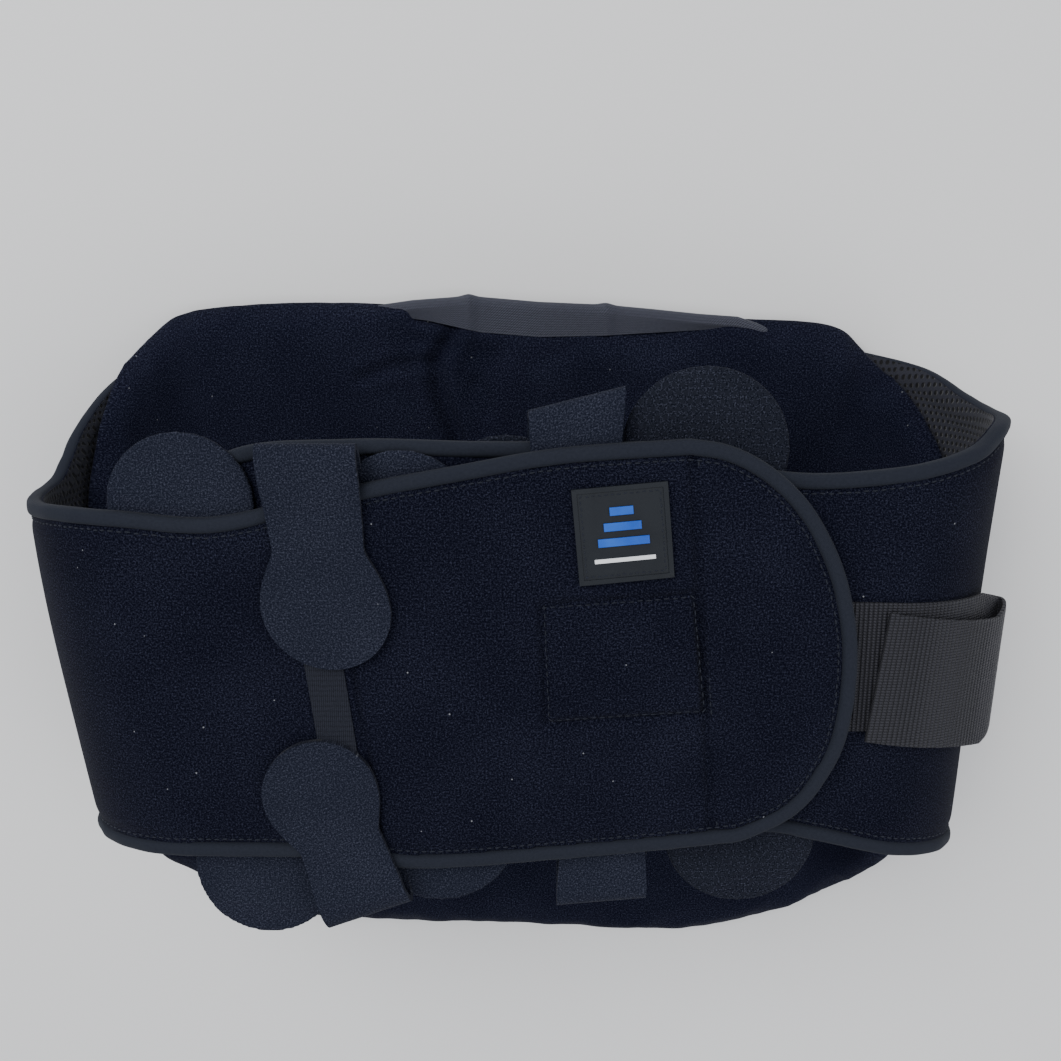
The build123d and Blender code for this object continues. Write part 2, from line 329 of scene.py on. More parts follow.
class Paint(Tree):
    """A material round a Principled shader."""

    def __init__(self, name, colour, roughness, **fixed):
        self.material = bpy.data.materials.new(name)
        self.material.use_nodes = True
        super().__init__(self.material.node_tree)
        self.shader = self.tree.nodes["Principled BSDF"]
        self.shader.inputs["Base Color"].default_value = (*colour, 1)
        self.shader.inputs["Roughness"].default_value = roughness
        for socket, value in fixed.items():
            self.shader.inputs[socket.replace("_", " ")].default_value = value

    def place(self, use_cloth=True):
        if use_cloth:
            return self.node("ShaderNodeUVMap", uv_map="cloth").outputs["UV"]
        return self.node("ShaderNodeTexCoord").outputs["Object"]

    def effect(self, group, links):
        return self.node("ShaderNodeGroup", links, node_tree=group).outputs

    def coat(self, colour, height, strength, distance):
        """Feed the shader its colour and its bump, and give the material."""
        bump = self.node("ShaderNodeBump", {"Strength": strength, "Distance": distance, "Height": height})
        self.link(colour, self.shader.inputs["Base Color"])
        self.link(bump.outputs["Normal"], self.shader.inputs["Normal"])
        return self.material


class Effect(Tree):
    """A shader node group with named inputs and outputs."""

    def __init__(self, name, inputs, outputs):
        super().__init__(bpy.data.node_groups.new(name, "ShaderNodeTree"))
        self.tree.interface.new_socket(name="Place", in_out="INPUT", socket_type="NodeSocketVector")
        for socket, value in inputs.items():
            made = self.tree.interface.new_socket(name=socket, in_out="INPUT", socket_type=FLOAT)
            made.default_value = value
        for socket in outputs:
            self.tree.interface.new_socket(name=socket, in_out="OUTPUT", socket_type=FLOAT)
        self.given = self.node("NodeGroupInput").outputs
        self.end = self.node("NodeGroupOutput")

    def out(self, **values):
        for key, value in values.items():
            self.link(value, self.end.inputs[key])
        return self.tree


FLOAT = "NodeSocketFloat"


def pile_effect():
    """Brushed loop pile: clumped fibres, broad shading and rare pale lint."""
    e = Effect("pile", {"Clump": 900.0, "Lint": 0.5}, ("Height", "Shade", "Lint"))
    place = e.given["Place"]
    fine = e.node("ShaderNodeTexNoise", {"Vector": place, "Scale": e.given["Clump"],
                                         "Detail": 3.0, "Roughness": 0.7})
    grain = e.node("ShaderNodeTexNoise", {"Vector": place, "Scale": 2600.0, "Detail": 2.0})
    broad = e.node("ShaderNodeTexNoise", {"Vector": place, "Scale": 24.0, "Detail": 3.0})
    height = e.maths("MULTIPLY_ADD", grain.outputs["Fac"], 0.5, fine.outputs["Fac"])
    shade = e.maths("MULTIPLY_ADD", broad.outputs["Fac"], 0.12, fine.outputs["Fac"])
    shade = e.maths("MULTIPLY_ADD", grain.outputs["Fac"], 0.4, shade)
    cell = e.node("ShaderNodeTexVoronoi", {"Vector": place, "Scale": 260.0, "Randomness": 1.0})
    chance = e.node("ShaderNodeSeparateColor", {"Color": cell.outputs["Color"]}).outputs[0]
    rare = e.maths("GREATER_THAN", chance, 0.955)
    dot = e.maths("LESS_THAN", cell.outputs["Distance"], 0.085)
    lint = e.maths("MULTIPLY", e.maths("MULTIPLY", rare, dot), e.given["Lint"])
    return e.out(Height=height, Shade=shade, Lint=lint)


def weave_effect():
    """Crossed threads: ribs along and across, with their own pitches."""
    e = Effect("weave", {"Along": 1000.0, "Across": 1000.0, "Twill": 0.0}, ("Height", "Shade"))
    parts = e.node("ShaderNodeSeparateXYZ", {"Vector": e.given["Place"]})
    upright = e.maths("MULTIPLY", parts.outputs["Y"], e.given["Across"])
    slant = e.maths("MULTIPLY", parts.outputs["X"], e.given["Along"])
    slant = e.maths("MULTIPLY_ADD", upright, e.given["Twill"], slant)
    rib = e.maths("ABSOLUTE", e.maths("SINE", e.maths("MULTIPLY", slant, math.pi)))
    thread = e.maths("ABSOLUTE", e.maths("SINE", e.maths("MULTIPLY", upright, math.pi)))
    height = e.maths("MULTIPLY_ADD", e.maths("SQRT", rib), 1.0,
                     e.maths("MULTIPLY", e.maths("SQRT", thread), 0.55))
    fuzz = e.node("ShaderNodeTexNoise", {"Vector": e.given["Place"], "Scale": 900.0, "Detail": 3.0})
    shade = e.maths("MULTIPLY_ADD", fuzz.outputs["Fac"], 0.6, e.maths("MULTIPLY", height, 0.5))
    return e.out(Height=height, Shade=shade)


def spacer_effect():
    """Spacer mesh: rows of small round holes."""
    e = Effect("spacer", {"Pitch": 330.0}, ("Height", "Hole"))
    scaled = e.node("ShaderNodeVectorMath", {0: e.given["Place"], "Scale": e.given["Pitch"]},
                    operation="SCALE")
    parts = e.node("ShaderNodeSeparateXYZ", {"Vector": scaled.outputs[0]})
    x, y = parts.outputs["X"], parts.outputs["Y"]
    shift = e.maths("MULTIPLY", e.maths("MODULO", e.maths("FLOOR", y), 2.0), 0.5)
    u = e.maths("SUBTRACT", e.maths("FRACT", e.maths("ADD", x, shift)), 0.5)
    v = e.maths("SUBTRACT", e.maths("FRACT", y), 0.5)
    gap = e.maths("SQRT", e.maths("ADD", e.maths("MULTIPLY", u, u), e.maths("MULTIPLY", v, v)))
    hole = e.node("ShaderNodeMapRange", {"Value": gap, "From Min": 0.2, "From Max": 0.36,
                                         "To Min": 1.0, "To Max": 0.0}).outputs[0]
    return e.out(Height=e.maths("SUBTRACT", 1.0, hole), Hole=hole)


PILE, WEAVE, SPACER = pile_effect(), weave_effect(), spacer_effect()


LINT_COLOUR = (0.35, 0.36, 0.38, 1)
# painted shade inside the holes of pierced felt
PAINTED_HOLE_SHADE = (0.011, 0.0125, 0.019, 1)


def shaded(paint, shade, dark, light, low=0.3, high=0.9, curve=1.0):
    """Colour between two shades by a varying value."""
    spread = paint.node("ShaderNodeMapRange", {"Value": shade, "From Min": low, "From Max": high})
    return paint.mixed(paint.maths("POWER", spread.outputs[0], curve), (*dark, 1), (*light, 1))


def pile_paint(name, dark, light, clump=1400.0, lint=0.5, bump=0.35, depth=0.0005, holes=0.0):
    """Brushed or felted fabric."""
    paint = Paint(name, dark, 1.0, Sheen_Weight=0.03, Sheen_Roughness=0.4,
                  Specular_IOR_Level=0.05)
    pile = paint.effect(PILE, {"Place": paint.place(), "Clump": clump, "Lint": lint})
    colour = shaded(paint, pile["Shade"], dark, light, 0.66, 0.98, curve=1.8)
    colour = paint.mixed(pile["Lint"], colour, LINT_COLOUR)
    # pierced holes are painted on, dark with painted shade
    if holes:
        rows = paint.effect(SPACER, {"Place": paint.place(), "Pitch": holes})
        colour = paint.mixed(rows["Hole"], colour, PAINTED_HOLE_SHADE)
    return paint.coat(colour, pile["Height"], bump, depth)


def woven_paint(name, dark, light, along, across, twill=0.0, bump=0.7, depth=0.0004,
                roughness=0.7, cloth=True, gloss=0.3):
    """Woven, knitted or ribbed fabric."""
    paint = Paint(name, dark, roughness, Sheen_Weight=0.03, Sheen_Roughness=0.4,
                  Specular_IOR_Level=gloss)
    weave = paint.effect(WEAVE, {"Place": paint.place(cloth), "Along": along, "Across": across,
                                 "Twill": twill})
    return paint.coat(shaded(paint, weave["Shade"], dark, light, 0.3, 1.1), weave["Height"], bump, depth)


def spacer_paint(name, dark, light):
    """Spacer mesh fabric, with painted shade in its holes."""
    paint = Paint(name, light, 0.8, Sheen_Weight=0.1, Specular_IOR_Level=0.3)
    mesh = paint.effect(SPACER, {"Place": paint.place(), "Pitch": 330.0})
    return paint.coat(shaded(paint, mesh["Hole"], light, dark, 0.0, 1.0), mesh["Height"], 0.9, 0.0008)


def moulded_paint(name, dark, light, roughness=0.55, bump=0.25, grain=1800.0, **fixed):
    """Moulded rubber or plastic, or metal, with a fine grain and faint scuffs."""
    paint = Paint(name, dark, roughness, **fixed)
    place = paint.place(False)
    fine = paint.node("ShaderNodeTexNoise", {"Vector": place, "Scale": grain, "Detail": 3.0})
    scuff = paint.node("ShaderNodeTexNoise", {"Vector": place, "Scale": 90.0, "Detail": 5.0})
    colour = shaded(paint, scuff.outputs["Fac"], dark, light, 0.3, 0.7)
    rough = paint.node("ShaderNodeMapRange", {"Value": scuff.outputs["Fac"], "From Min": 0.3,
                                              "From Max": 0.7, "To Min": roughness - 0.08,
                                              "To Max": roughness + 0.1})
    paint.link(rough.outputs[0], paint.shader.inputs["Roughness"])
    return paint.coat(colour, fine.outputs["Fac"], bump, 0.0002)


LOOP = pile_paint("brushed loop", (0.0015, 0.0018, 0.006), (0.030, 0.033, 0.056))
LINER = pile_paint("liner loop", (0.0025, 0.003, 0.009), (0.036, 0.040, 0.068), lint=0.3)
FELT_FACE = pile_paint("felt", (0.007, 0.0085, 0.016), (0.055, 0.060, 0.086), clump=1500.0,
                       lint=0.15, bump=0.3, depth=0.0004)
PIERCED = pile_paint("pierced felt", (0.004, 0.005, 0.009), (0.055, 0.060, 0.086), clump=1500.0,
                     lint=0.15, bump=0.3, depth=0.0004, holes=340.0)
KNIT = woven_paint("binding knit", (0.006, 0.0075, 0.013), (0.018, 0.021, 0.030), 2600.0, 2600.0,
                   bump=0.2, depth=0.0002, roughness=0.9, gloss=0.12)
# the spacer mesh's dark end is painted shade in its holes
MESH = spacer_paint("spacer mesh", (0.001, 0.001, 0.002), (0.018, 0.019, 0.028))
TWILL = woven_paint("twill nylon", (0.003, 0.004, 0.007), (0.050, 0.053, 0.075), 900.0, 900.0,
                    twill=1.0, roughness=0.6, gloss=0.3, bump=0.9)
WEBBING = woven_paint("webbing", (0.001, 0.001, 0.002), (0.024, 0.024, 0.031), 560.0, 900.0,
                      bump=1.0, depth=0.0007, roughness=0.55, gloss=0.25)
RIBBED = woven_paint("ribbed tape", (0.003, 0.0035, 0.006), (0.015, 0.017, 0.026), 1300.0, 500.0,
                     bump=0.7, roughness=0.7, gloss=0.15)
THREAD = woven_paint("thread", (0.006, 0.008, 0.014), (0.024, 0.028, 0.042), 3000.0, 3000.0,
                     cloth=False, roughness=0.7, gloss=0.2)
RUBBER = moulded_paint("label rubber", (0.0045, 0.0065, 0.010), (0.0075, 0.0100, 0.0145), 0.55,
                       Specular_IOR_Level=0.3)
BLUE = moulded_paint("raised blue", (0.0, 0.07, 0.42), (0.01, 0.11, 0.5), 0.4)
WHITE = moulded_paint("raised white", (0.72, 0.73, 0.74), (0.82, 0.83, 0.84), 0.5)
HOOK = moulded_paint("hook fastener", (0.012, 0.012, 0.014), (0.03, 0.03, 0.034), 0.6, 0.9, 700.0)
PANEL = moulded_paint("panel plastic", (0.018, 0.018, 0.02), (0.03, 0.03, 0.034), 0.5, 0.5, 900.0)
STEEL = moulded_paint("stay steel", (0.4, 0.4, 0.42), (0.6, 0.6, 0.62), 0.35, 0.1, Metallic=1.0)


# ------------------------------------------------------------------ cloth, binding, thread

def patch_between(left, right, bottom, top, at):
    """Points of a flat patch between four edges, each an array of samples."""
    def sample(edge, t):
        place = t * (len(edge) - 1)
        low = np.minimum(place.astype(int), len(edge) - 2)
        return edge[low] + (edge[low + 1] - edge[low]) * (place - low)[:, None]
    u, v = at[:, :1], at[:, 1:]
    across = sample(bottom, at[:, 0]) * (1 - v) + sample(top, at[:, 0]) * v
    along = sample(left, at[:, 1]) * (1 - u) + sample(right, at[:, 1]) * u
    corners = (bottom[0] * (1 - u) * (1 - v) + bottom[-1] * u * (1 - v)
               + top[0] * (1 - u) * v + top[-1] * u * v)
    return across + along - corners


def cloth_panel(name, edges, rims, hand, columns, rows, body, replaced, presses=(), bend=None):
    """Foam-backed wing cloth, cut flat, pressed in under its binding and at its seams."""
    piece, at = grid_piece(name, columns, rows)
    flat = patch_between(*edges, at)
    height = np.zeros(len(flat))
    for rim in rims:
        gap = distance_to(flat, rim)
        height -= 0.75 * np.exp(-((gap - STITCH_INSET) / 2.6) ** 2)
        height -= 0.9 * (gap < STITCH_INSET - 1.5)
    for line, depth, width in presses:
        height -= depth * np.exp(-(distance_to(flat, line) / width) ** 2)
    move_points(piece, np.column_stack([flat, height]))
    flat_map(piece)
    piece.data.materials.append(LOOP)
    piece.data.materials.append(MESH)
    apply_modifier(piece, "SOLIDIFY", thickness=CLOTH, offset=-1, material_offset=1,
                   use_quality_normals=True)
    roll_up(piece, hand)
    smooth(piece)
    finish_piece(piece, None, body, replaced, bend)


def normals_of(line):
    """The in-cloth direction at right angles to a line, to its left."""
    run = np.gradient(line, axis=0)
    run /= np.linalg.norm(run, axis=1)[:, None]
    return np.column_stack([-run[:, 1], run[:, 0]])


def binding(name, rim, inward, hand, width=BINDING_WIDTH, height=BINDING_HEIGHT, step=1.6):
    """Knitted tape folded over a rim: a flattened tube with soft puckers."""
    columns = int(length_of(rim) / step)
    line = resampled(rim, columns + 1)
    around = 22
    piece, at = grid_piece(name, columns, around)
    index = np.rint(at[:, 0] * columns).astype(int)
    turn = at[:, 1] * 2 * math.pi
    side = normals_of(line)[index] * inward
    cosine, sine = np.cos(turn), np.sin(turn)
    a = width / 2 + width / 2 * np.sign(cosine) * np.abs(cosine) ** 0.72
    b = height / 2 * np.sign(sine) * np.abs(sine) ** 0.72
    run = index * step
    pucker = 0.12 * np.sin(run / 2.9 + 1.3 * np.sin(run / 17)) * np.sin(run / 11 + 0.5)
    from_end = np.minimum(index, columns - index) * step
    taper = np.sqrt(1 - (1 - np.clip(from_end / 2.5, 0, 1)) ** 2)
    a = width / 2 + (a - width / 2) * taper
    b *= (1 + pucker * 0.5) * taper
    flat = line[index] + side * (a - 0.9)[:, None]
    move_points(piece, np.column_stack([flat, b - CLOTH / 2 + pucker * 0.4]))
    flat_map(piece, np.column_stack([run, at[:, 1] * 2 * (width + height)]))
    tidy_normals(piece)
    roll_up(piece, hand)
    smooth(piece, 60)
    return piece


def stitch_shape():
    """One stitch: a small rounded bar, as points and faces."""
    bpy.ops.object.select_all(action="DESELECT")
    bpy.ops.mesh.primitive_uv_sphere_add(segments=6, ring_count=5, radius=1)
    ball = added("stitch")
    points = points_of(ball)
    faces = [tuple(face.vertices) for face in ball.data.polygons]
    bpy.data.objects.remove(ball)
    return points, faces


STITCH_POINTS, STITCH_FACES = stitch_shape()


def stitches(name, line, place, height, pitch=3.1, length=2.3, radius=0.33):
    """A row of stitches along a line on the cloth. place puts flat points in the frame."""
    count = max(int(length_of(line) / pitch), 2)
    line = resampled(line, count)
    run = np.gradient(line, axis=0)
    run /= np.linalg.norm(run, axis=1)[:, None]
    side = np.column_stack([-run[:, 1], run[:, 0]])
    sway = 0.12 * np.sin(np.arange(count) * 2.4)
    points, faces = [], []
    for k in range(count):
        ball = STITCH_POINTS * (length / 2, radius, radius)
        flat = line[k] + ball[:, :1] * run[k] + (ball[:, 1:2] + sway[k]) * side[k]
        points.append(np.column_stack([flat, ball[:, 2] + height]))
        faces += [tuple(v + k * len(ball) for v in face) for face in STITCH_FACES]
    data = bpy.data.meshes.new(name)
    data.from_pydata(place(np.vstack(points)).tolist(), [], faces)
    piece = bpy.data.objects.new(name, data)
    bpy.context.collection.objects.link(piece)
    smooth(piece, 180)
    return piece


def on_left(points):
    return rolled(points, LEFT)


def on_right(points):
    return rolled(points, RIGHT)


def inset_line(rim, inward, distance):
    return rim + normals_of(rim) * inward * distance


def trim_rims(wing, rims, hand, body, replaced, bend=None):
    """Bind and stitch a wing's upper and lower rims."""
    place = on_left if hand == LEFT else on_right
    for name, rim, inward, nodes in zip(("top", "bottom"), rims, (-1, 1), (replaced, ())):
        tape = binding(f"{wing}_{name}_binding", rim, inward, hand)
        finish_piece(tape, KNIT, body, nodes, bend)
        line = inset_line(rim, inward, STITCH_INSET)
        thread = stitches(f"{wing}_{name}_stitching", line, place, STITCH_HEIGHT)
        finish_piece(thread, THREAD, body, bend=bend)


# ------------------------------------------------------------------ the left wing

seam_top, seam_bottom = (-77, 81), (-60, -57)
end_top, end_bottom = (64, 103), (77, -52)
left_top_rim = smooth_line([
    back_seam(LEFT, 131), (-296, 120), (-266, 99), (-252, 87), (-238, 79), (-205, 77), (-170, 78),
    (-144, 77), (-110, 74.5), seam_top])
left_bottom_rim = smooth_line([
    back_seam(LEFT, -112), (-262, -95), (-231, -76), (-205, -66), (-178, -61), (-150, -58),
    (-129, -57), (-105, -57), (-80, -57), seam_bottom])

flap_top_rim = smooth_line([seam_top, (-53, 87), (-21, 93), (17, 99.5), end_top])
flap_bottom_rim = smooth_line([seam_bottom, (-41, -61.5), (-12, -61), (34, -57), end_bottom])
end_rim = smooth_line([
    end_bottom, (90, -49.5), (109, -38.5), (121.5, -19.5), (126.5, 0), (127, 26), (122.5, 49),
    (115, 67), (105, 82), (92, 93.5), (78, 100.5), end_top])
flap_rim = np.vstack([flap_bottom_rim[:-1], end_rim[:-1], flap_top_rim[::-1]])
flap_rim = resampled(flap_rim, 500)


def left_wing():
    rims = (left_top_rim, left_bottom_rim)
    edges = (straight(left_bottom_rim[0], left_top_rim[0]), straight(seam_bottom, seam_top),
             left_bottom_rim, left_top_rim)
    bend = ("root", "left_wing", (-0.19, 0, 0.042), (-0.19, 0, 0.073))
    cloth_panel("left_wing_cloth", edges, rims, LEFT, 190, 110, "left_wing",
                ("left_wing_side", "left_wing_front"), bend=bend)
    trim_rims("left_wing", rims, LEFT, "left_wing", ("left_rear_binding", "left_front_binding"), bend)


def rectangle_line(corners):
    return np.vstack([straight(a, b, 60) for a, b in zip(corners, corners[1:] + corners[:1])])


HOOK_BOX = [(11, 43), (67, 47), (73, 1), (13, -3)]


def left_flap():
    presses = [
        (straight((64.6, 97), (76.4, -46)), 2.3, 1.7),
        (rectangle_line(HOOK_BOX), 2.0, 1.5),
        (straight((-66.5, 79), (-50, -54)), 1.5, 1.1),
    ]
    edges = (straight(seam_bottom, seam_top), end_rim, flap_bottom_rim, flap_top_rim)
    bend = ("left_wing", "flap_end", (0.059, 0.103, 0.1135), (0.077, 0.1045, 0.1135))
    cloth_panel("left_flap_cloth", edges, (flap_rim,), LEFT, 170, 130, "left_wing",
                ("left_flap", "flap_end"), presses, bend)
    tape = binding("left_flap_binding_tape", flap_rim, 1, LEFT)
    finish_piece(tape, KNIT, "left_wing", ("left_flap_binding", "flap_end_binding"),
                 bend=bend)
    rows = [stitches("left_flap_stitching", inset_line(flap_rim, 1, STITCH_INSET), on_left,
                     STITCH_HEIGHT)]
    rows.append(stitches("end_seam_stitching", straight((66.8, 95), (78.4, -44)), on_left, -1.1))
    box_line = rectangle_line([(12, 42), (66.5, 46), (72, 1.8), (14, -2)])
    rows.append(stitches("hook_box_stitching", box_line, on_left, -1.0, radius=0.26))
    for thread in rows:
        finish_piece(thread, THREAD, "left_wing", bend=bend)


left_wing()
left_flap()

# ------------------------------------------------------------------ the right wing

right_top_rim = smooth_line([
    (30, 101), (64, 100), (100, 90), (137, 91), (173, 98), (193, 105), (210, 107.5), (230, 108.5),
    (250, 113), (275, 123), back_seam(RIGHT, 131)])
right_bottom_rim = smooth_line([
    (30, -48), (97, -50.5), (117, -54), (144, -60), (176, -66), (205, -72), (230, -79),
    (258, -96), back_seam(RIGHT, -116)])
right_flap_rim = smooth_line([
    (30, -48), (-40, -50), (-98, -42), (-126, -14), (-136, 25), (-128, 70), (-104, 97), (-60, 102),
    (-10, 101), (30, 101)])


def right_wing():
    edges = (straight((30, -48), (30, 101)), straight(right_bottom_rim[-1], right_top_rim[-1]),
             right_bottom_rim, right_top_rim)
    rims = (right_top_rim, right_bottom_rim)
    cloth_panel("right_wing_cloth", edges, rims, RIGHT, 170, 90, "root",
                ("right_wing_front", "right_wing_side"))
    trim_rims("right_wing", rims, RIGHT, "root", ("right_front_binding", "right_rear_binding"))


def right_flap():
    middle = len(right_flap_rim) // 2
    bottom = right_flap_rim[:middle // 2][::-1]
    top = right_flap_rim[-middle // 2:]
    tip = right_flap_rim[middle // 2 - 1:-middle // 2 + 1]
    edges = (tip, straight((30, -48), (30, 101)), bottom, top)
    cloth_panel("right_flap_cloth", edges, (right_flap_rim,), RIGHT, 80, 70, "root", ("right_flap",))
    tape = binding("right_flap_binding_tape", right_flap_rim, -1, RIGHT, step=2.4)
    finish_piece(tape, KNIT, "root", ("right_flap_binding",))


right_wing()
right_flap()

# ------------------------------------------------------------------ felt connectors and tabs

def felt_shape(name, discs, arms, low, hand, thickness=FELT):
    """Felt cut in one piece: round lobes on arms, melted together and softened at the edges."""
    parts = []
    bpy.ops.object.select_all(action="DESELECT")
    for (x, y), radius in discs:
        bpy.ops.mesh.primitive_cylinder_add(vertices=64, radius=radius, depth=thickness,
                                            location=(x, y, low + thickness / 2))
        parts.append(bpy.context.object)
    for (ax, ay), (bx, by), width in arms:
        turn = math.atan2(by - ay, bx - ax)
        bpy.ops.mesh.primitive_cube_add(
            size=1, location=((ax + bx) / 2, (ay + by) / 2, low + thickness / 2), rotation=(0, 0, turn),
            scale=(math.dist((ax, ay), (bx, by)), width, thickness))
        parts.append(bpy.context.object)
    piece = joined(name, *parts)
    bpy.ops.object.transform_apply(location=True, rotation=True, scale=True)
    apply_modifier(piece, "REMESH", mode="VOXEL", voxel_size=1.0)
    apply_modifier(piece, "SMOOTH", factor=0.5, iterations=4)
    flat_map(piece)
    roll_up(piece, hand)
    smooth(piece, 60)
    return piece


def folded_strap(node, path, half_width, disc_radius, sideways, hand, bend=None):
    """A felt strap along a path of (run, height) points, ending in a round disc.

    sideways places (across, run) on the cloth.
    """
    name = f"{node}_felt"
    line = smooth_line(path, 400)
    total = length_of(line)
    centre = total - disc_radius
    plain = np.linspace(0, centre, 90)
    round_end = centre + disc_radius * np.sin(np.linspace(0, math.pi / 2, 22))[1:]
    runs = np.r_[plain, round_end]
    columns = len(runs) - 1
    disc = np.sqrt(np.maximum(disc_radius**2 - (runs - centre) ** 2, 0))
    blend_width = 9.0
    gap = np.clip(0.5 + (disc - half_width) / (2 * blend_width), 0, 1)
    waist = half_width * (1 - 0.12 * np.clip((runs - total * 0.45) / (total * 0.3), 0, 1))
    neck = waist * (1 - gap) + disc * gap + blend_width * gap * (1 - gap)
    half = np.where(runs > centre, disc, neck)
    piece, at = grid_piece(name, columns, 26)
    index = np.rint(at[:, 0] * columns).astype(int)
    steps = np.r_[0, np.cumsum(np.linalg.norm(np.diff(line, axis=0), axis=1))]
    run = np.interp(runs, steps, line[:, 0])[index]
    rise = np.interp(runs, steps, line[:, 1])[index]
    slope = np.gradient(line, axis=0)
    slope /= np.linalg.norm(slope, axis=1)[:, None]
    across = (at[:, 1] * 2 - 1) * half[index]
    curl = 0.5 * (np.abs(at[:, 1] * 2 - 1) ** 4) * np.sin(runs[index] / 14)
    off_run, off_rise = (np.interp(runs, steps, part)[index] for part in (-slope[:, 1], slope[:, 0]))
    sheets = []
    for lift in (FELT / 2, -FELT / 2):
        flat = sideways(across, run + off_run * lift)
        sheets.append(np.column_stack([flat, rise + off_rise * lift + curl]))
    flat_map(piece, np.column_stack([across, runs[index]]))
    piece = close_over(piece, *sheets, name)
    roll_up(piece, hand)
    smooth(piece, 60)
    finish_piece(piece, FELT_FACE, "root", (node,), bend)


def connectors():
    low = -7.0
    left = felt_shape(
        "left_connector_felt",
        [((-120, 79), 27), ((-40, 72.5), 27), ((-96, -64), 28.5), ((-28, -49), 30), ((-70, 8), 24)],
        [((-70, 8), (-120, 79), 34), ((-70, 8), (-40, 73), 34), ((-70, 8), (-96, -69), 34),
         ((-70, 8), (-28, -49), 34), ((-70, 8), (-70, 80), 36), ((-70, 8), (-59, -62), 36)],
        low, LEFT)
    finish_piece(left, FELT_FACE, "left_wing", ("left_connector",))
    right = felt_shape(
        "right_connector_felt",
        [((71, 98), 31), ((-2, 77), 27), ((90, -54), 30), ((-20, -46), 28), ((30, 22), 24)],
        [((30, 22), (71, 98), 34), ((30, 22), (-2, 77), 34), ((30, 22), (90, -54), 34),
         ((30, 22), (-20, -46), 34), ((30, 22), (24, 100), 36), ((30, 22), (36, -66), 36)],
        low, RIGHT)
    finish_piece(right, PIERCED, "root", ("right_connector",))


def top_tab():
    path = [(60, -5.9), (84, -5.8), (96, -4.6), (101, -1.4), (100.5, 2.2), (95, 4.3), (86, 3.6),
            (76, 2.2), (62, 1.7), (40, 1.6), (19, 1.6)]
    bend = ("left_wing", "top_tab", (-0.07, 0.09, 0.1105), (-0.07, 0.09, 0.1155))
    folded_strap("top_tab", path, 17.8, 23.5,
                 lambda a, r: np.column_stack([-72.3 + a + (101.5 - r) * 0.085, r]), LEFT, bend)


def bottom_tab():
    away = np.array([17.0, -48.0]) / math.hypot(17, 48)
    beside = np.array([-away[1], away[0]])
    fold = np.array([-55.0, -80.0])
    path = [(-36, -5.9), (-14, -5.9), (-5, -4.9), (-0.5, -1.6), (-1.0, 2.0), (-6, 4.2), (-14, 3.8),
            (-24, 2.3), (-38, 1.7), (-56, 1.6), (-74, 1.6)]
    bend = ("left_wing", "bottom_tab", (-0.06, -0.07, 0.1105), (-0.06, -0.07, 0.1155))
    folded_strap("bottom_tab", path, 17.0, 22.0,
                 lambda a, r: fold + a[:, None] * beside + r[:, None] * away, LEFT, bend)


def inner_tabs():
    """The right connector's two tabs, under the left wing."""
    top = [(60, -5.9), (92, -5.8), (106, -5.0), (114.5, -2.8), (116.5, 0.2), (113, 2.2), (104, 2.2),
           (90, 1.6), (72, 1.5), (55, 1.5)]
    bottom = [(-40, -5.9), (-62, -5.8), (-73, -5.0), (-79, -2.6), (-80, 0.2), (-76, 2.0), (-66, 1.6),
              (-50, 1.5), (-34, 1.5), (-14, 1.5)]
    for node, path, radius, middle, lean in (
            ("right_top_tab", top, 21, 23.5, 0.25), ("right_bottom_tab", bottom, 20, 35.0, 0.1)):
        folded_strap(node, path, 17.6, radius,
                     lambda a, r: np.column_stack([middle + a, r + a * lean]), RIGHT)


connectors()
top_tab()
bottom_tab()
inner_tabs()

# ------------------------------------------------------------------ tape, label, emblem

def seam_tape(name, top, bottom, height, place, body, replaced):
    """Ribbed tape over the joint of wing and flap."""
    piece, at = grid_piece(name, 20, 240)
    down = np.array(bottom, float) - top
    centre = np.array(top) + at[:, 1:] * down
    across = (at[:, 0] * 2 - 1) * 7.0
    lean = -down[0] / down[1]
    flat = centre + np.column_stack([across, across * lean])
    ribs = 0.16 * np.abs(np.sin(at[:, 1] * math.hypot(*down) * math.pi / 1.5))
    move_points(piece, np.column_stack([flat, height + ribs * (np.abs(across) < 6.2)]))
    flat_map(piece)
    apply_modifier(piece, "SOLIDIFY", thickness=0.5, offset=-1)
    move_points(piece, place(points_of(piece)))
    smooth(piece, 60)
    finish_piece(piece, RIBBED, body, (replaced,))


LABEL_CENTRE = np.array([40.2, 70.0])
LABEL_TURN = math.radians(5.5)
LABEL_HALF = (17.2, 17.6)


def on_label(points):
    """Points in the label's own frame, put on the flap."""
    x, y, h = points.T
    cosine, sine = math.cos(LABEL_TURN), math.sin(LABEL_TURN)
    flat = np.column_stack([x * cosine - y * sine, x * sine + y * cosine]) + LABEL_CENTRE
    return rolled(np.column_stack([flat, h]), LEFT)


def label_block(name, size, location, bevel, material, replaced=()):
    """A rounded block in the label's own frame."""
    bpy.ops.object.select_all(action="DESELECT")
    bpy.ops.mesh.primitive_cube_add(size=1, location=location, scale=size)
    piece = added(name)
    bpy.ops.object.transform_apply(location=True, rotation=True, scale=True)
    edit(piece, (bpy.ops.mesh.subdivide, {"number_cuts": 7}))
    apply_modifier(piece, "BEVEL", width=bevel, segments=4, limit_method="ANGLE")
    flat_map(piece)
    move_points(piece, on_label(points_of(piece)))
    smooth(piece, 40)
    return finish_piece(piece, material, "left_wing", replaced)


